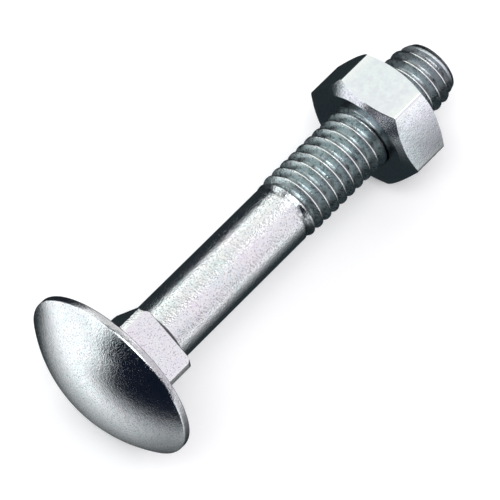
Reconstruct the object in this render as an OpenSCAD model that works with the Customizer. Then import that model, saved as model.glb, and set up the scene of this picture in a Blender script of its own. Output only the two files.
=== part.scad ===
// Carriage bolt with its hex nut, M6 with the coarse thread, lying as it comes to rest.
// The bolt is one cold-formed piece: domed head, square neck, reduced shank and rolled thread.
// Each piece is drawn upright, its axis on Z and the head's bearing face at 0, and then laid down.

/* [Head] */
// Diameter of the head
head_d = 15.85; // [14:0.05:18]
// Height of the head, from the bearing face to the top of the dome
head_h = 3.5; // [2.8:0.05:5]
// Height of the upright land round the rim
land_h = 0.4; // [0.1:0.05:0.8]
// Radius of the rim's edge at the bearing face
edge_r = 0.1; // [0.05:0.05:0.3]
// Radius between the land and the dome
rim_r = 0.25; // [0.1:0.05:0.6]
// How far the head was upset off the axis of the shank
head_offset = 0.4; // [0:0.05:0.8]
// Direction of that offset round the axis, from the side that lies uppermost
head_offset_angle = -71; // [-180:1:180]

/* [Neck] */
// Width across the flats of the square neck
neck_w = 6.15; // [5.6:0.05:7]
// Diameter that the neck's corners are formed to
neck_corner_d = 8.2; // [7.4:0.05:9]
// Length of the neck from the bearing face
neck_l = 4.4; // [3:0.1:6]
// Radius at the end of the neck's corners
neck_end_r = 0.5; // [0.1:0.05:0.6]
// Turn of a neck flat from the side that lies uppermost
neck_angle = 29.5; // [0:0.5:89.5]

/* [Shank] */
// Length of the bolt under the head
bolt_l = 38.75; // [30:0.25:80]
// Diameter of the reduced shank
shank_d = 5.45; // [5.2:0.01:5.55]

/* [Thread] */
// Diameter over the crests
thread_d = 5.8; // [5.7:0.01:6]
// Pitch of the thread
pitch = 1; // [0.75:0.05:1.25]
// Depth of the thread, in parts of its pitch
thread_depth = 0.565; // [0.5:0.005:0.61]
// Flat left on each crest, in parts of the pitch
crest_flat = 0.13; // [0.08:0.01:0.16]
// Length of the threaded end, with its run-out
thread_l = 19.3; // [14:0.1:26]
// Length over which the thread rises out of the shank
runout_l = 1.6; // [0.5:0.1:3]
// Diameter of the end of the bolt
point_d = 4.86; // [4.5:0.01:5.2]
// Length of the chamfer at that end
point_l = 1.3; // [0.6:0.1:2]
// Where a crest lies on the uppermost side, in parts of a pitch from the bearing face
crest_phase = 0.3; // [0:0.01:0.99]

/* [Nut] */
// Width across the flats of the nut
nut_w = 9.9; // [9.2:0.1:11]
// Height of the nut
nut_h = 4.75; // [4:0.05:6]
// Diameter of the round face that the chamfers leave at each end
nut_face_d = 8.8; // [8:0.1:9.1]
// Slope of those chamfers from the end faces, in degrees
nut_chamfer_angle = 30; // [15:1:35]
// Diameter of the countersinks at the mouths of the bore
nut_sink_d = 6.6; // [6.3:0.05:7]
// Length of the bolt that shows beyond the nut
end_shown = 4.5; // [1:0.1:6]
// Gap round the crests of the thread, on the radius
thread_gap = 0.04; // [0.02:0.01:0.08]

/* [Hidden] */
round_fn = 96;
// Flat faces round one turn of the thread
turn_steps = 30;
// The thread's own blank is this much under the shank, so that its start stays inside
blank_gap = 0.02;
// How far one solid reaches into the next, so that the two join
overlap_l = 0.5;

// The dome is an arc that runs tangent into the rounding above the land
head_r = head_d / 2;
rim_centre = [head_r - rim_r, -edge_r - land_h];
dome_rise = head_h + rim_centre[1];
dome_r = (pow(rim_centre[0], 2) + pow(dome_rise, 2) - pow(rim_r, 2)) / (2 * (dome_rise - rim_r));
dome_centre = dome_r - head_h;
rim_reach = dome_r / (dome_r - rim_r);
rim_tangent = [rim_centre[0] * rim_reach, dome_centre + (rim_centre[1] - dome_centre) * rim_reach];
head_offset_up = head_offset * cos(head_offset_angle);
head_offset_side = head_offset * sin(head_offset_angle);

// One pitch of the thread: distance along the axis from the crest's start, and radius
crest_r = thread_d / 2;
root_r = crest_r - thread_depth * pitch;
crest_w = crest_flat * pitch;
flank_l = (crest_r - root_r) * tan(30);
thread_form = [
    [0, crest_r],
    [crest_w, crest_r],
    [crest_w + flank_l, root_r],
    [pitch - flank_l, root_r]
];
form_points = len(thread_form);
blank_r = shank_d / 2 - blank_gap;
thread_start = bolt_l - thread_l;
// The swept thread starts inside the shank and ends past the bolt's end, where it is cut off
sweep_start = (floor((thread_start - overlap_l) / pitch) - 2 + crest_phase) * pitch - crest_w / 2;
sweep_steps = ceil((bolt_l + overlap_l + pitch - sweep_start) / pitch) * turn_steps;

nut_at = bolt_l - end_shown - nut_h;
nut_apothem = nut_w / 2;
nut_face_r = nut_face_d / 2;
nut_corner_r = nut_apothem / cos(30);
nut_bore_r = crest_r + thread_gap;
nut_chamfer_l = (nut_corner_r - nut_face_r) * tan(nut_chamfer_angle);
nut_sink_l = (nut_sink_d / 2 - nut_bore_r) * tan(30);

// At rest the rim's edge at the bearing face and one flat of the nut touch the ground
nut_touch = nut_at + nut_h - (nut_apothem - nut_face_r) * tan(nut_chamfer_angle);
rest_rise = head_r - edge_r - head_offset_up - nut_apothem;
rest_run = nut_touch + edge_r;
rest_tilt = atan2(rest_rise, rest_run) + asin(edge_r / norm([rest_rise, rest_run]));
axis_height = nut_apothem * cos(rest_tilt) + nut_touch * sin(rest_tilt);
reach_back = head_offset_up * sin(rest_tilt) + dome_centre * cos(rest_tilt) - dome_r;
reach_front = point_d / 2 * sin(rest_tilt) + bolt_l * cos(rest_tilt);

// 0 on the plain shank and 1 on the full thread, with a smooth rise between
function rise(z) = let (t = min(1, max(0, (z - thread_start) / runout_l))) t * t * (3 - 2 * t);

// Radius of the chamfered end at a height, which the thread can't pass
function point_limit(z) = point_d / 2 + max(0, bolt_l - z) * (thread_d - point_d) / 2 / point_l;

// A point of the thread, a number of steps along its helix
function thread_point(step, part) =
    let (turn = 360 * step / turn_steps,
         z = sweep_start + pitch * step / turn_steps + thread_form[part][0],
         full = blank_r + (thread_form[part][1] - blank_r) * rise(z),
         r = min(full, point_limit(z)))
    [r * cos(turn), r * sin(turn), z];

// Number of a point; the last of a pitch is the first of the next turn
function thread_index(step, part) =
    part < form_points ? step * form_points + part :
    step + turn_steps <= sweep_steps ? (step + turn_steps) * form_points :
    (sweep_steps + 1) * form_points + step + turn_steps - sweep_steps - 1;

module lay_down() {
    translate([-(reach_back + reach_front) / 2, head_offset_side, axis_height])
        rotate([0, 90 + rest_tilt, 0])
            rotate([0, 0, 180])
                children();
}

// Half section of the head, outside to the right and the dome below
module head_section() {
    below = -head_h - overlap_l;
    beyond = 2 * rim_tangent - rim_centre;
    intersection() {
        translate([0, dome_centre]) circle(r = dome_r, $fn = 2 * round_fn);
        polygon([[0, 0], [rim_centre[0], 0], rim_centre, beyond, [beyond[0], below], [0, below]]);
    }
    translate(rim_centre) circle(r = rim_r, $fn = round_fn);
    polygon([
        [0, 0], [head_r - edge_r, 0], [head_r - edge_r, -edge_r],
        [head_r, -edge_r], [head_r, rim_centre[1]], [0, rim_centre[1]]
    ]);
    translate([head_r - edge_r, -edge_r]) circle(r = edge_r, $fn = round_fn);
}

module head() {
    translate([head_offset_up, head_offset_side, 0])
        rotate_extrude($fn = round_fn) head_section();
}

// Half section that rounds the neck's corners, and their ends towards the shank
module neck_section() {
    corner_r = neck_corner_d / 2;
    translate([0, -overlap_l]) square([corner_r, neck_l + overlap_l - neck_end_r]);
    square([corner_r - neck_end_r, neck_l]);
    translate([corner_r - neck_end_r, neck_l - neck_end_r]) circle(r = neck_end_r, $fn = round_fn);
}

module neck() {
    rotate([0, 0, neck_angle]) intersection() {
        translate([-neck_w / 2, -neck_w / 2, -overlap_l]) cube([neck_w, neck_w, neck_l + overlap_l]);
        rotate_extrude($fn = round_fn) neck_section();
    }
}

module shank() {
    translate([0, 0, -overlap_l]) cylinder(d = shank_d, h = thread_start + overlap_l, $fn = round_fn);
}

// The rolled thread, swept as one closed skin whose rows follow the helix
module thread() {
    tail = [for (step = [sweep_steps + 1 : sweep_steps + turn_steps]) thread_point(step, 0)];
    skin = [for (step = [0 : sweep_steps], part = [0 : form_points - 1]) thread_point(step, part)];
    last = len(skin) + len(tail);
    ends = [[0, 0, sweep_start + pitch / 2], [0, 0, sweep_start + pitch * (sweep_steps / turn_steps + 0.5)]];
    walls = [for (step = [0 : sweep_steps - 1], part = [0 : form_points - 1])
        for (face = [
            [thread_index(step, part), thread_index(step, part + 1), thread_index(step + 1, part)],
            [thread_index(step + 1, part), thread_index(step, part + 1), thread_index(step + 1, part + 1)]
        ]) face];
    floor_rim = concat([for (step = [0 : turn_steps]) thread_index(step, 0)],
                       [for (part = [form_points - 1 : -1 : 0]) thread_index(0, part)]);
    top_rim = concat([for (part = [0 : form_points]) thread_index(sweep_steps, part)],
                     [for (step = [sweep_steps - 1 : -1 : sweep_steps - turn_steps])
                         thread_index(step, form_points)]);
    closing = concat(
        [for (i = [0 : len(floor_rim) - 2]) [last, floor_rim[i], floor_rim[i + 1]]],
        [for (i = [0 : len(top_rim) - 2]) [last + 1, top_rim[i], top_rim[i + 1]]]);
    intersection() {
        polyhedron(points = concat(skin, tail, ends), faces = concat(walls, closing), convexity = 10);
        translate([-head_d, -head_d, sweep_start - pitch])
            cube([2 * head_d, 2 * head_d, bolt_l - sweep_start + pitch]);
    }
}

module bolt() {
    color("lightsteelblue") lay_down() {
        head();
        neck();
        shank();
        thread();
    }
}

// Hexagon with both ends chamfered and a round bore countersunk at both mouths
module nut() {
    color("silver") lay_down() translate([0, 0, nut_at]) difference() {
        intersection() {
            rotate([0, 0, 30]) cylinder(r = nut_corner_r, h = nut_h, $fn = 6);
            rotate_extrude($fn = round_fn) polygon([
                [0, 0], [nut_face_r, 0], [nut_corner_r, nut_chamfer_l],
                [nut_corner_r, nut_h - nut_chamfer_l], [nut_face_r, nut_h], [0, nut_h]
            ]);
        }
        translate([0, 0, -overlap_l]) cylinder(r = nut_bore_r, h = nut_h + 2 * overlap_l, $fn = round_fn);
        rotate_extrude($fn = round_fn) polygon([
            [0, 0], [nut_sink_d / 2, 0], [nut_bore_r, nut_sink_l], [0, nut_sink_l]
        ]);
        rotate_extrude($fn = round_fn) polygon([
            [0, nut_h], [nut_sink_d / 2, nut_h], [nut_bore_r, nut_h - nut_sink_l], [0, nut_h - nut_sink_l]
        ]);
    }
}

bolt();
nut();
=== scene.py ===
import math

import bpy
from mathutils import Matrix, Vector


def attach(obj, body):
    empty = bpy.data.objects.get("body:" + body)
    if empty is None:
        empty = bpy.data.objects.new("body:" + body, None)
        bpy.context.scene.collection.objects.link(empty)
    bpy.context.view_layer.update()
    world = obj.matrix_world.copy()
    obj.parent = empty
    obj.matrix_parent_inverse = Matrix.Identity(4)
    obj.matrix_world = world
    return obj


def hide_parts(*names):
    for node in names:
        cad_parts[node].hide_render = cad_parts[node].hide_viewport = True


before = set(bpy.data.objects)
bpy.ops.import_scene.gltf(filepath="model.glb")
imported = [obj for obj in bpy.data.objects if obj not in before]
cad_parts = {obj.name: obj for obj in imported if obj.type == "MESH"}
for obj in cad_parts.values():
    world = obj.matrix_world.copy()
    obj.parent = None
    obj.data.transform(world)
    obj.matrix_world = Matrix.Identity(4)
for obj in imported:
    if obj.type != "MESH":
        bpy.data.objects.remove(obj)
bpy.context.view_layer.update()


# ---- The bolt
# One piece of steel wire, cold-headed into a domed head on a square neck. The shank stays at the diameter for
# rolling, and its end is rolled into a coarse right-hand thread that runs out of the shank over a turn and a half.
# All of it is zinc plated and passivated, which leaves a fine orange-peel grain and a faint blue and lilac cast.
# Sizes are in millimetres, and in metres once multiplied by mm
mm = 0.001
head_r = 7.925
head_h = 3.5
land_h = 0.4
edge_r = 0.1
rim_r = 0.25
head_offset = 0.4
head_offset_angle = math.radians(-71)
neck_w = 6.15
neck_l = 4.4
neck_corner_r = 4.1
neck_end_r = 0.5
neck_break = 0.1
neck_angle = math.radians(29.5)
# How far the neck's block reaches into the head
neck_root = 1
# How far the form that rounds its corners reaches into the head, and past the neck's end
neck_corner_root = 0.8
neck_corner_over = 0.3
# How far up inside the neck the shank starts
shank_foot = 1
bolt_l = 38.75
shank_r = 2.725
crest_r = 2.9
thread_depth = 0.565
crest_w = 0.13
pitch = 1.0
thread_l = 19.3
runout_l = 1.6
root_rise = 0.04
point_r = 2.43
point_l = 1.3
crest_phase = 0.3
axis_slope = math.radians(4.778828)
rest_shift = Vector((-17.648936, -0.378207, 7.759693))
# The fine facets keep this far inside the frame's coarser ones, on the head and at the tip
skin = 0.012
tip_skin = 0.003


def let_go():
    """Nothing is selected, in object mode."""
    if bpy.context.object and bpy.context.object.mode != "OBJECT":
        bpy.ops.object.mode_set(mode="OBJECT")
    bpy.ops.object.select_all(action="DESELECT")


def take(piece):
    """Only this piece is selected and active, in object mode."""
    let_go()
    piece.select_set(True)
    bpy.context.view_layer.objects.active = piece


def turned(name, section, sides=144):
    """A turned form: a disc drawn out and resized from station to station of (radius, height) in millimetres."""
    tiny = 0.001
    let_go()
    radius, height = section[0]
    bpy.ops.mesh.primitive_circle_add(vertices=sides, radius=radius * mm, fill_type="NGON",
                                      location=(0, 0, height * mm))
    piece = bpy.context.object
    piece.name = name
    bpy.ops.object.transform_apply(location=True, rotation=True, scale=True)
    bpy.ops.object.mode_set(mode="EDIT")
    bpy.ops.mesh.select_all(action="SELECT")
    for next_radius, next_height in section[1:]:
        bpy.ops.mesh.extrude_region_move(
            TRANSFORM_OT_translate={"value": (0, 0, (next_height - height) * mm)})
        grow = max(next_radius, tiny) / radius
        bpy.ops.transform.resize(value=(grow, grow, 1), center_override=(0, 0, next_height * mm))
        radius, height = max(next_radius, tiny), next_height
    if section[-1][0] == 0:
        bpy.ops.mesh.merge(type="CENTER")
    bpy.ops.mesh.select_all(action="SELECT")
    bpy.ops.mesh.normals_make_consistent(inside=False)
    bpy.ops.object.mode_set(mode="OBJECT")
    return piece


def combine(piece, tool, operation):
    """The tool is joined to the piece, cut from it, or keeps only what both hold, and is then gone."""
    take(piece)
    cut = piece.modifiers.new("cut", "BOOLEAN")
    cut.operation = operation
    cut.solver = "EXACT"
    cut.object = tool
    bpy.ops.object.modifier_apply(modifier=cut.name)
    bpy.data.objects.remove(tool, do_unlink=True)


def lay_down(piece):
    """Turns a piece drawn upright, its uppermost side on X, to how the bolt lies on its head and nut."""
    slope = Matrix.Rotation(axis_slope + math.pi / 2, 4, "Y") @ Matrix.Rotation(math.pi, 4, "Z")
    piece.matrix_world = Matrix.Translation(rest_shift * mm) @ slope
    take(piece)
    bpy.ops.object.transform_apply(location=True, rotation=True, scale=True)


def round_edges(piece, wanted, radius, segments):
    """Rounds the edges whose two ends, in millimetres, are as wanted."""
    take(piece)
    bpy.ops.object.mode_set(mode="EDIT")
    bpy.ops.mesh.select_mode(type="EDGE")
    bpy.ops.mesh.select_all(action="DESELECT")
    bpy.ops.object.mode_set(mode="OBJECT")
    for edge in piece.data.edges:
        low, high = (piece.data.vertices[i].co / mm for i in edge.vertices)
        edge.select = wanted(low, high)
    bpy.ops.object.mode_set(mode="EDIT")
    bpy.ops.mesh.bevel(offset=radius * mm, segments=segments, affect="EDGES")
    bpy.ops.mesh.select_mode(type="VERT")
    bpy.ops.object.mode_set(mode="OBJECT")


def arc(centre, radius, start, end, steps):
    """Stations on an arc of a section, from one angle to another."""
    return [(centre[0] + radius * math.cos(start + (end - start) * i / steps),
             centre[1] + radius * math.sin(start + (end - start) * i / steps)) for i in range(steps + 1)]


# The dome is an arc that runs tangent into the rounding above the upright land of the rim
rim_centre = (head_r - skin - rim_r, -edge_r - land_h)
dome_rise = head_h - skin + rim_centre[1]
dome_r = (rim_centre[0] ** 2 + dome_rise ** 2 - rim_r ** 2) / (2 * (dome_rise - rim_r))
dome_centre = dome_r - (head_h - skin)
dome_edge = math.atan2(rim_centre[1] - dome_centre, rim_centre[0])
bolt = turned("bolt_piece", [
    *arc((head_r - skin - edge_r, -edge_r), edge_r, math.pi / 2, 0, 4),
    *arc(rim_centre, rim_r, 0, dome_edge, 6),
    *arc((0, dome_centre), dome_r, dome_edge, -math.pi / 2, 24)[1:-1],
    (0, dome_centre - dome_r),
])
bolt.location = (head_offset * math.cos(head_offset_angle) * mm, head_offset * math.sin(head_offset_angle) * mm, 0)
take(bolt)
bpy.ops.object.transform_apply(location=True, rotation=True, scale=True)

# The neck is a block with its end edges broken and its corners formed round in the die
let_go()
bpy.ops.mesh.primitive_cube_add(size=1, location=(0, 0, (neck_l - neck_root) / 2 * mm), rotation=(0, 0, neck_angle),
                                scale=(neck_w * mm, neck_w * mm, (neck_l + neck_root) * mm))
neck = bpy.context.object
bpy.ops.object.transform_apply(location=True, rotation=True, scale=True)
round_edges(neck, lambda low, high: min(low.z, high.z) > neck_l - 0.01, neck_break, 3)
combine(neck, turned("neck_corners", [
    (neck_corner_r, -neck_corner_root), (neck_corner_r, neck_l - neck_end_r),
    *arc((neck_corner_r - neck_end_r, neck_l - neck_end_r), neck_end_r, 0, math.pi / 2, 8)[1:],
    (neck_corner_r - 2 * neck_end_r, neck_l + neck_corner_over),
]), "INTERSECT")


def helix(name, section, first, last, turn_steps=96):
    """One pitch of a thread's section drawn out point by point, then swept as a right-hand helix by a screw."""
    let_go()
    bpy.ops.mesh.primitive_plane_add(size=0.1 * mm)
    piece = bpy.context.object
    piece.name = name
    bpy.ops.object.mode_set(mode="EDIT")
    bpy.ops.mesh.select_all(action="SELECT")
    bpy.ops.mesh.merge(type="CENTER")
    bpy.ops.transform.translate(value=(section[0][0] * mm, 0, (first + section[0][1]) * mm))
    for (radius, along), (next_radius, next_along) in zip(section, section[1:]):
        bpy.ops.mesh.extrude_vertices_move(
            TRANSFORM_OT_translate={"value": ((next_radius - radius) * mm, 0, (next_along - along) * mm)})
    bpy.ops.object.mode_set(mode="OBJECT")
    sweep = piece.modifiers.new("sweep", "SCREW")
    sweep.angle = 2 * math.pi
    sweep.screw_offset = pitch * mm
    sweep.iterations = math.ceil((last - first) / pitch)
    sweep.steps = sweep.render_steps = turn_steps
    bpy.ops.object.modifier_apply(modifier=sweep.name)
    bpy.ops.object.mode_set(mode="EDIT")
    bpy.ops.mesh.select_all(action="SELECT")
    bpy.ops.mesh.remove_doubles(threshold=0.001 * mm)
    bpy.ops.object.mode_set(mode="OBJECT")
    return piece


def cut_flat(piece, low, high):
    """Cuts a swept thread square at both ends, closes them, and turns its faces outward."""
    take(piece)
    bpy.ops.object.mode_set(mode="EDIT")
    for height, outer in ((low, False), (high, True)):
        bpy.ops.mesh.select_all(action="SELECT")
        bpy.ops.mesh.bisect(plane_co=(0, 0, height * mm), plane_no=(0, 0, 1), use_fill=True,
                            threshold=0.0001 * mm, clear_inner=not outer, clear_outer=outer)
    bpy.ops.mesh.select_all(action="SELECT")
    bpy.ops.mesh.normals_make_consistent(inside=False)
    bpy.ops.object.mode_set(mode="OBJECT")


# The shank and the thread are one skin: the section sinks into the plain shank before the run-out
root_r = crest_r - thread_depth
flank_l = thread_depth * math.tan(math.radians(30))
root_w = pitch - crest_w - 2 * flank_l
section = [
    (crest_r, -crest_w / 2), (crest_r, 0), (crest_r, crest_w / 2),
    (crest_r - 0.5 * thread_depth, crest_w / 2 + 0.5 * flank_l),
    (root_r + root_rise, crest_w / 2 + flank_l), (root_r, crest_w / 2 + flank_l + root_w / 2),
    (root_r + root_rise, pitch - crest_w / 2 - flank_l),
    (crest_r - 0.5 * thread_depth, pitch - crest_w / 2 - 0.5 * flank_l),
    (crest_r, pitch - crest_w / 2),
]
shank = helix("bolt_shank", section, crest_phase - pitch, bolt_l + 2 * pitch)
thread_start = bolt_l - thread_l
for vertex in shank.data.vertices:
    x, y, z = (v / mm for v in vertex.co)
    radius = math.hypot(x, y)
    grown = min(1, max(0, (z - thread_start) / runout_l))
    grown = grown * grown * (3 - 2 * grown)
    wanted = shank_r + (radius - shank_r) * grown
    limit = point_r + max(0, bolt_l - z) * (crest_r - point_r) / point_l
    wanted = min(wanted, limit)
    vertex.co.x *= wanted / radius
    vertex.co.y *= wanted / radius
cut_flat(shank, shank_foot, bolt_l - tip_skin)
combine(neck, shank, "UNION")
combine(bolt, neck, "UNION")
lay_down(bolt)
bpy.ops.object.shade_smooth_by_angle(angle=math.radians(32))


class Field:
    """A socket of a finish. Sums on it add Math nodes, so a pattern over the surface is written as it reads."""

    def __init__(self, finish, socket):
        self.finish, self.socket = finish, socket

    def maths(self, operation, first, second):
        return self.finish.node("Math", {"operation": operation}, {0: first, 1: second})["Value"]

    def __add__(self, other):
        return self.maths("ADD", self, other)

    def __sub__(self, other):
        return self.maths("SUBTRACT", self, other)

    def __rsub__(self, other):
        return self.maths("SUBTRACT", other, self)

    def __mul__(self, other):
        return self.maths("MULTIPLY", self, other)

    def __pow__(self, other):
        return self.maths("POWER", self, other)


class Finish:
    """The nodes of one material or of the surroundings."""

    def __init__(self, owner):
        owner.use_nodes = True
        self.tree = owner.node_tree
        self.tree.nodes.clear()

    def node(self, kind, settings=None, sockets=None):
        """A node of this type, its settings put in first and then its sockets' values or links."""
        made = self.tree.nodes.new("ShaderNode" + kind)
        for name, value in (settings or {}).items():
            setattr(made, name, value)
        for name, value in (sockets or {}).items():
            if isinstance(value, Field):
                self.tree.links.new(value.socket, made.inputs[name])
            else:
                made.inputs[name].default_value = value
        return {out.name: Field(self, out) for out in made.outputs if out.enabled}

    def spread(self, value, low, high, to_low=0.0, to_high=1.0):
        """A value from low to high, or from high down to low, brought to another span and held at its ends."""
        return self.node("MapRange", {"clamp": True}, {"Value": value, "From Min": low, "From Max": high,
                                                       "To Min": to_low, "To Max": to_high})["Result"]

    def band(self, value, foot, rise, fall, end):
        """1 from rise to fall, fading to 0 at foot and end."""
        return self.spread(value, foot, rise) * self.spread(value, end, fall)

    def blend(self, factor, first, second):
        """From the first colour at 0 to the second at 1."""
        return self.node("Mix", {"data_type": "RGBA"}, {0: factor, 6: first, 7: second})["Result"]


def zinc(name, pale, grain_shift, corner, threaded, smooth_side=0):
    """Bright zinc plate, blue passivated: orange-peel grain, fine pits, teal and lilac drifts, paler corners.

    Corners shine from one distance off the bolt's axis to another. The smooth side is how far above the axis the
    uppermost flat lies, which has a finer grain and fewer pits and is painted a paler teal, a painted highlight.
    Lengths are in millimetres and noise scales are per metre, so that 9000 gives pits a ninth of a millimetre wide.
    """
    plate = bpy.data.materials.new(name)
    finish = Finish(plate)
    spread, band, blend = finish.spread, finish.band, finish.blend
    to_mm = 1 / mm
    lying_place = finish.node("TexCoord")["Object"]
    grain_place = finish.node("Mapping", None, {"Vector": lying_place, "Location": (grain_shift, 0, 0)})["Vector"]
    from_head = finish.node("VectorMath", {"operation": "SUBTRACT"}, {0: lying_place, 1: rest_shift * mm})["Vector"]

    def reach(direction):
        """How far the place lies in a direction from the middle of the head's bearing face."""
        return finish.node("VectorMath", {"operation": "DOT_PRODUCT"}, {0: from_head, 1: direction})["Value"] * to_mm

    def noise(scale, detail, roughness, where=grain_place):
        return finish.node("TexNoise", None, {"Vector": where, "Scale": scale, "Detail": detail,
                                              "Roughness": roughness})["Fac"]

    axis = Vector((math.cos(axis_slope), 0, -math.sin(axis_slope)))
    along = reach(axis)
    above = reach(Vector((math.sin(axis_slope), 0, math.cos(axis_slope))))
    off_axis = finish.node("VectorMath", {"operation": "CROSS_PRODUCT"}, {0: from_head, 1: axis})["Vector"]
    radius = finish.node("VectorMath", {"operation": "LENGTH"}, {0: off_axis})["Value"] * to_mm

    drift = noise(210, 2, 0.5)
    mottle = noise(1700, 3, 0.6)
    peel = noise(7000, 2, 0.65)
    pits = spread(noise(9000, 1, 0.5), 0.59, 0.64)
    drawn_place = finish.node("Mapping", None, {"Vector": grain_place, "Rotation": (0.3, 0.2, 0.9),
                                                "Scale": (1, 9, 9)})["Vector"]
    scuffs = spread(noise(420, 2, 0.5, drawn_place), 0.66, 0.72)

    teal = (0.74, 0.86, 0.87, 1)
    lilac = (0.87, 0.84, 0.91, 1)
    top_flat_highlight_film = (0.86, 0.93, 0.92, 1)
    pit_grey = (0.2, 0.21, 0.25, 1)
    edge_and_highlight_pale = (0.91, 0.94, 0.925, 1)
    film = blend(spread(drift, 0.36, 0.64), teal, lilac)
    on_head = spread(along, 0.5, -1.0)
    film = blend(on_head * 0.7, film, teal)
    if threaded:
        depth = 1 - on_head * 0.25
    else:
        # The uppermost flat gets a finer grain and fewer pits, and a paler teal film that is a painted highlight
        top_flat = spread(above, smooth_side - 0.09, smooth_side - 0.02)
        pits = pits * (1 - top_flat)
        film = blend(top_flat * 0.7, film, top_flat_highlight_film)
        depth = 0.45 - top_flat * 0.35
    colour = blend(spread(mottle, 0.35, 0.65, 0.2, 0.8), film, pale)
    colour = blend(pits * 0.5, colour, pit_grey)
    rough = spread(mottle, 0.3, 0.7, 0.07, 0.14) + scuffs * 0.08
    # Corners are drawn paler, and on the thread this also carries the painted highlights
    pale_edges_and_highlights = spread(radius, *corner)

    if threaded:
        # Below its crests the rolled thread keeps a thicker, bluish film with pale and dark flecks, greyer at the tip
        thread_blue = (0.8, 0.97, 0.99, 1)
        pale_fleck = (0.93, 0.97, 0.98, 1)
        dark_fleck = (0.24, 0.29, 0.32, 1)
        tip_grey = (0.66, 0.67, 0.72, 1)
        in_thread = spread(along, thread_start + 0.3, thread_start + runout_l)
        sunk = in_thread * spread(radius, crest_r, crest_r - 0.1)
        flecks = noise(3900, 3, 0.65)
        colour = blend(sunk * 0.88, colour, thread_blue)
        colour = blend(sunk * spread(flecks, 0.51, 0.62, 0, 0.85), colour, pale_fleck)
        colour = blend(sunk * spread(flecks, 0.46, 0.36, 0, 0.8), colour, dark_fleck)
        colour = blend(in_thread * spread(along, bolt_l - 4.2, bolt_l - 1.2) * 0.6, colour, tip_grey)
        rough = rough + sunk * spread(mottle, 0.35, 0.65, 0.15, 0.3)

        # Where the helix is in its turn: 0 on the middle of a crest, growing towards the tip
        sideways = reach(Vector((0, -1, 0)))
        turn = finish.node("Math", {"operation": "ARCTAN2"}, {0: sideways, 1: above})["Value"]
        step = finish.node("Math", {"operation": "FLOORED_MODULO"}, {
            0: along * (1 / pitch) - turn * (0.5 / math.pi) - crest_phase, 1: 1.0})["Value"]

        # Painted shade fills the roots and lies darkest just behind each crest
        shade_and_patch_black = (0.03, 0.032, 0.036, 1)
        root_shade = in_thread * band(step, 0.01, 0.04, 0.56, 0.65)
        crest_shade = in_thread * band(step, 0.01, 0.04, 0.16, 0.26)
        # In the run-out the crest is a low ridge with a painted highlight and a painted shade line behind it, among
        # ragged dark patches
        runout = band(along, thread_start + 0.1, thread_start + 0.5, thread_start + 1.3, thread_start + 1.9)
        ridge_highlight = runout * (spread(step, 0.08, 0.04) + spread(step, 0.92, 0.96))
        ridge_shade = runout * band(step, 0.07, 0.11, 0.22, 0.36)
        ragged = spread(mottle, 0.46, 0.56) * band(
            along, thread_start, thread_start + 0.3, thread_start + 0.8, thread_start + 1.5)
        # Painted shade also lies where the shank leaves the neck, and on the bearing face near the rim
        neck_shade = band(along, neck_l - 0.08, neck_l - 0.05, neck_l + 0.26, neck_l + 0.34)
        rim_shade = spread(along, -0.1, -0.04) * spread(radius, head_r - 0.6, head_r - 0.5)
        # Painted shade in near-black on the roots, behind the crests, behind the run-out ridge, at the neck's end and
        # under the rim, and the ragged dark patches
        colour = blend(root_shade * 0.58 + crest_shade * 0.3 + ridge_shade * 0.7 + ragged * 0.5 + neck_shade * 0.92
                       + rim_shade * 0.8, colour, shade_and_patch_black)

        # The upright land of the rim is painted a darker grey, a painted shade
        land_shade_grey = (0.42, 0.40, 0.43, 1)
        land_shade = spread(along, -land_h - 0.22, -land_h) * spread(radius, head_r - 0.9, head_r - 0.7)
        colour = blend(land_shade * 0.6, colour, land_shade_grey)

        # The corners of the neck are paler; a painted highlight lies on the head's side of each crest and on the
        # ridge in the run-out
        pale_edges_and_highlights = pale_edges_and_highlights * band(along, 0.05, 0.1, neck_l - 0.1, neck_l)
        crest_highlight = in_thread * spread(radius, crest_r - 0.06, crest_r - 0.02) * (1 - band(step, 0.02, 0.05, 0.4, 0.5))
        pale_edges_and_highlights = pale_edges_and_highlights + crest_highlight * spread(mottle, 0.4, 0.58, 0.8, 1.6) + ridge_highlight * 1.3
    colour = blend(pale_edges_and_highlights * 0.6, colour, edge_and_highlight_pale)

    height = (peel * 0.7 + mottle * 0.5 - pits * 0.1) * depth
    grain = finish.node("Bump", None, {"Height": height, "Strength": 0.9, "Distance": 0.04 * mm})["Normal"]
    shader = finish.node("BsdfPrincipled", None, {"Base Color": colour, "Metallic": 1.0, "Roughness": rough,
                                                  "Normal": grain})["BSDF"]
    finish.node("OutputMaterial", None, {"Surface": shader})
    return plate


bolt.data.materials.clear()
bolt.data.materials.append(zinc("bolt_zinc_plate", (0.92, 0.92, 0.92, 1), 0.0, (3.9, 4.1), True))
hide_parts("bolt")
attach(bolt, "bolt")


# ---- The nut
# A hexagon nut pressed from steel, chamfered at both ends, tapped, countersunk at both mouths and zinc plated.
# It stands on the thread with one flat uppermost, and its own thread is in step with the bolt's.
nut_w = 9.9
nut_h = 4.75
nut_face_r = 4.4
nut_slope = math.tan(math.radians(30))
nut_sink_r = 3.3
nut_minor_r = 2.5
nut_major_r = 2.99
nut_corner_break = 0.16
tap_room = 0.1
end_shown = 4.5
# How far the blank and the cutters reach past what they shape
spare = 1
edge_spare = 0.3
mouth_spare = 0.4
cut_clear = 0.03
nut_at = bolt_l - end_shown - nut_h
nut_corner_r = nut_w / 2 / math.cos(math.radians(30))

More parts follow.
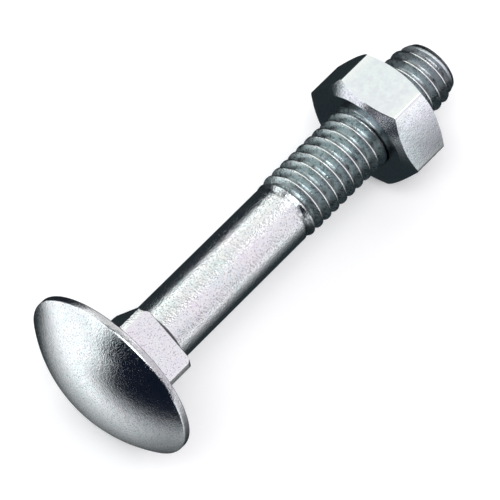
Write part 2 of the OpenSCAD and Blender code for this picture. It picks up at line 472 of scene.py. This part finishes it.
let_go()
bpy.ops.mesh.primitive_cylinder_add(vertices=6, radius=nut_corner_r * mm, depth=(nut_h + 2 * spare) * mm,
                                    location=(0, 0, (nut_at + nut_h / 2) * mm))
nut = bpy.context.object
nut.name = "nut_piece"
bpy.ops.object.transform_apply(location=True, rotation=True, scale=True)
round_edges(nut, lambda low, high: abs(low.z - high.z) > nut_h, nut_corner_break, 3)
outer_r = nut_corner_r + edge_spare
slope_l = (outer_r - nut_face_r) * nut_slope
combine(nut, turned("nut_ends", [
    (nut_face_r, nut_at), (outer_r, nut_at + slope_l),
    (outer_r, nut_at + nut_h - slope_l), (nut_face_r, nut_at + nut_h),
]), "INTERSECT")
sink_depth = (nut_sink_r - nut_minor_r) * nut_slope
for mouth, inward in ((nut_at, 1), (nut_at + nut_h, -1)):
    combine(nut, turned("nut_sink", [
        (nut_sink_r + mouth_spare / nut_slope, mouth - inward * mouth_spare), (nut_sink_r, mouth),
        (nut_minor_r, mouth + inward * sink_depth), (nut_minor_r - mouth_spare, mouth + inward * sink_depth),
    ]), "DIFFERENCE")
tap_depth = nut_major_r - nut_minor_r
tap_flank = tap_depth * math.tan(math.radians(30))
tap_w = crest_w + tap_room
# The tap starts whole turns along the bolt's own helix, so that both threads are in step
tap_start = crest_phase + 26
tap = helix("nut_tap", [
    (nut_major_r, -tap_w / 2), (nut_major_r, tap_w / 2),
    (nut_minor_r, tap_w / 2 + tap_flank), (nut_minor_r, pitch - tap_w / 2 - tap_flank),
    (nut_major_r, pitch - tap_w / 2),
], tap_start, nut_at + nut_h + 3 * pitch, turn_steps=72)
cut_flat(tap, nut_at - spare - cut_clear, nut_at + nut_h + spare + cut_clear)
combine(nut, tap, "DIFFERENCE")
lay_down(nut)
bpy.ops.object.shade_smooth_by_angle(angle=math.radians(25))
nut.data.materials.clear()
nut.data.materials.append(zinc("nut_zinc_plate", (0.74, 0.765, 0.82, 1), 0.11, (5.3, 5.6), False, nut_w / 2))
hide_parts("nut")
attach(nut, "nut")


# ---- The floor and the studio
# A plain white table under four soft boxes, three behind the bolt and to its left, as the camera sees it, and one
# above. Dark cards that only the metal sees blacken its edges and its near side; the one under the bolt is a painted
# shadow of the bolt on the table. The table keeps the bolt's shadow, and what the camera and the metal see of it is
# lifted a little towards white.
let_go()
bpy.ops.mesh.primitive_grid_add(x_subdivisions=8, y_subdivisions=8, size=3)
table = bpy.context.object
table.name = "white_table"
table_paint = bpy.data.materials.new("white_table_paint")
finish = Finish(table_paint)
rays = finish.node("LightPath")
seen = rays["Is Camera Ray"] + rays["Is Glossy Ray"] + rays["Is Transmission Ray"]
table_white = (0.86, 0.86, 0.87, 1)
table_lift = 0.26
paint = finish.node("BsdfDiffuse", None, {"Color": table_white})["BSDF"]
lift = finish.node("Emission", None, {"Color": (1, 1, 1, 1),
                                      "Strength": finish.spread(seen, 0, 1, 0, table_lift)})["Emission"]
finish.node("OutputMaterial", None, {"Surface": finish.node("AddShader", None, {0: paint, 1: lift})["Shader"]})
table.data.materials.append(table_paint)

# The room itself is dim
world = bpy.data.worlds.new("room")
bpy.context.scene.world = world
finish = Finish(world)
room = finish.node("Background", None, {"Color": (0.016, 0.019, 0.025, 1), "Strength": 1.0})["Background"]
finish.node("OutputWorld", None, {"Surface": room})


def softbox(name, azimuth, elevation, away, wide, high, strength, colour):
    """A soft lamp that faces the bolt from a direction in degrees, its distance and size in metres.

    Strength is how bright its face looks.
    """
    lamp = bpy.data.lights.new(name, "AREA")
    lamp.shape = "RECTANGLE"
    lamp.size, lamp.size_y = wide, high
    lamp.energy = strength * math.pi * wide * high
    lamp.color = colour
    box = bpy.data.objects.new(name, lamp)
    bpy.context.scene.collection.objects.link(box)
    turn, rise = math.radians(azimuth), math.radians(elevation)
    box.location = (away * math.cos(turn) * math.cos(rise), away * math.sin(turn) * math.cos(rise),
                    away * math.sin(rise))
    box.rotation_euler = (-box.location).to_track_quat("-Z", "Y").to_euler()
    box.visible_camera = False


softbox("cream_softbox", 26, 46.5, 0.8, 0.92, 0.66, 1.0, (0.99, 1.0, 0.965))
softbox("lilac_softbox", -43, 31, 0.8, 1.22, 1.0, 0.9, (1.0, 0.955, 1.0))
softbox("side_softbox", 117, 30, 0.8, 1.75, 0.85, 1.25, (0.97, 1.0, 1.0))
softbox("top_softbox", 223, 71, 0.8, 0.58, 0.56, 3.8, (1.0, 1.0, 1.0))


def flag(name, width, height, place, turn, tone, dark):
    """A dark card that only the metal sees, as dense at each place as its function says, in millimetres."""
    let_go()
    bpy.ops.mesh.primitive_grid_add(x_subdivisions=4, y_subdivisions=4, size=1)
    card = bpy.context.object
    card.name = name
    card.scale = (width * mm, height * mm, 1)
    card.rotation_euler = turn
    card.location = [v * mm for v in place]
    bpy.ops.object.transform_apply(location=True, rotation=True, scale=True)
    card_paper = bpy.data.materials.new(name + "_paper")
    finish = Finish(card_paper)
    spot = finish.node("SeparateXYZ", None, {"Vector": finish.node("TexCoord")["Object"]})
    black = finish.node("Emission", None, {"Color": (*tone, 1), "Strength": 1.0})["Emission"]
    clear = finish.node("BsdfTransparent")["BSDF"]
    finish.node("OutputMaterial", None, {"Surface": finish.node("MixShader", None, {
        0: dark(finish, *(spot[side] * (1 / mm) for side in "XYZ")), 1: clear, 2: black})["Shader"]})
    card.data.materials.append(card_paper)
    card.visible_camera = card.visible_diffuse = card.visible_shadow = False


def fade(finish, value, clear, dense):
    """Thickens quickly from clear and then slowly to dense."""
    return 1 - (1 - finish.spread(value, clear, dense)) ** 1.9


def below(finish, x, y, z):
    """Painted shadow of the bolt: dense under it and on its far side, thinning out round the head and on the near
    side.
    """
    head_end = finish.spread(x + y * 0.12, -32, -18.5)
    beside = finish.spread(y, -66, -8) ** 1.4
    far_end = finish.spread(y - finish.spread(x, -14, -6, 0, 40), 30, 20)
    return head_end * beside * far_end


def beyond(finish, x, y, z):
    """Dense behind the shank and the rim, up to a little above the bolt."""
    return finish.spread(z, 29, 22) * finish.spread(x, -23, -15)


def towards_camera(finish, x, y, z):
    """Dense from a line that runs out from the head, first across its axis and then along it."""
    line = finish.spread(x, -46, -24, 9, -10) + finish.spread(x, -190, -46, 28, 0)
    return fade(finish, line - y, -6, 14) * finish.spread(y * 0.5 - x, 14, 19)


def upright(finish, x, y, z):
    """Dense but for its end on the camera's left."""
    return fade(finish, x - y, -430, -300)


# This card is a painted shadow: a dark sheet on the table under and beside the bolt that only the metal sees
flag("painted_shadow_below", 130, 90, (30, -15, 0.05), (0, 0, 0), (0.022, 0.03, 0.034), below)
flag("flag_beyond", 110, 32, (29, 30, 16), (math.pi / 2, 0, 0), (0.02, 0.025, 0.032), beyond)
flag("flag_near", 200, 120, (-110, -35, 0.1), (0, 0, 0), (0.006, 0.009, 0.018), towards_camera)
flag("flag_wall", 600, 160, (-124, -76, 80), (math.pi / 2, 0, math.radians(-45)), (0.006, 0.009, 0.018), upright)


# ---- The camera
# It looks down on the bolt from beyond its head, as the photograph does, through a long lens. Its place, its aim and
# its roll were fitted to the photograph's outline.
eye = Vector((-0.110286, -0.101708, 0.296609))
aim = Vector((0.000321, 0.001583, 0))
roll = math.radians(-2.747225)
view = bpy.data.cameras.new("camera")
view.sensor_width = 36
view.lens = 294.217
camera = bpy.data.objects.new("camera", view)
bpy.context.scene.collection.objects.link(camera)
camera.location = eye
camera.rotation_euler = ((aim - eye).to_track_quat("-Z", "Y").to_matrix() @ Matrix.Rotation(roll, 3, "Z")).to_euler()
bpy.context.scene.camera = camera
bpy.context.scene.view_settings.view_transform = "Standard"
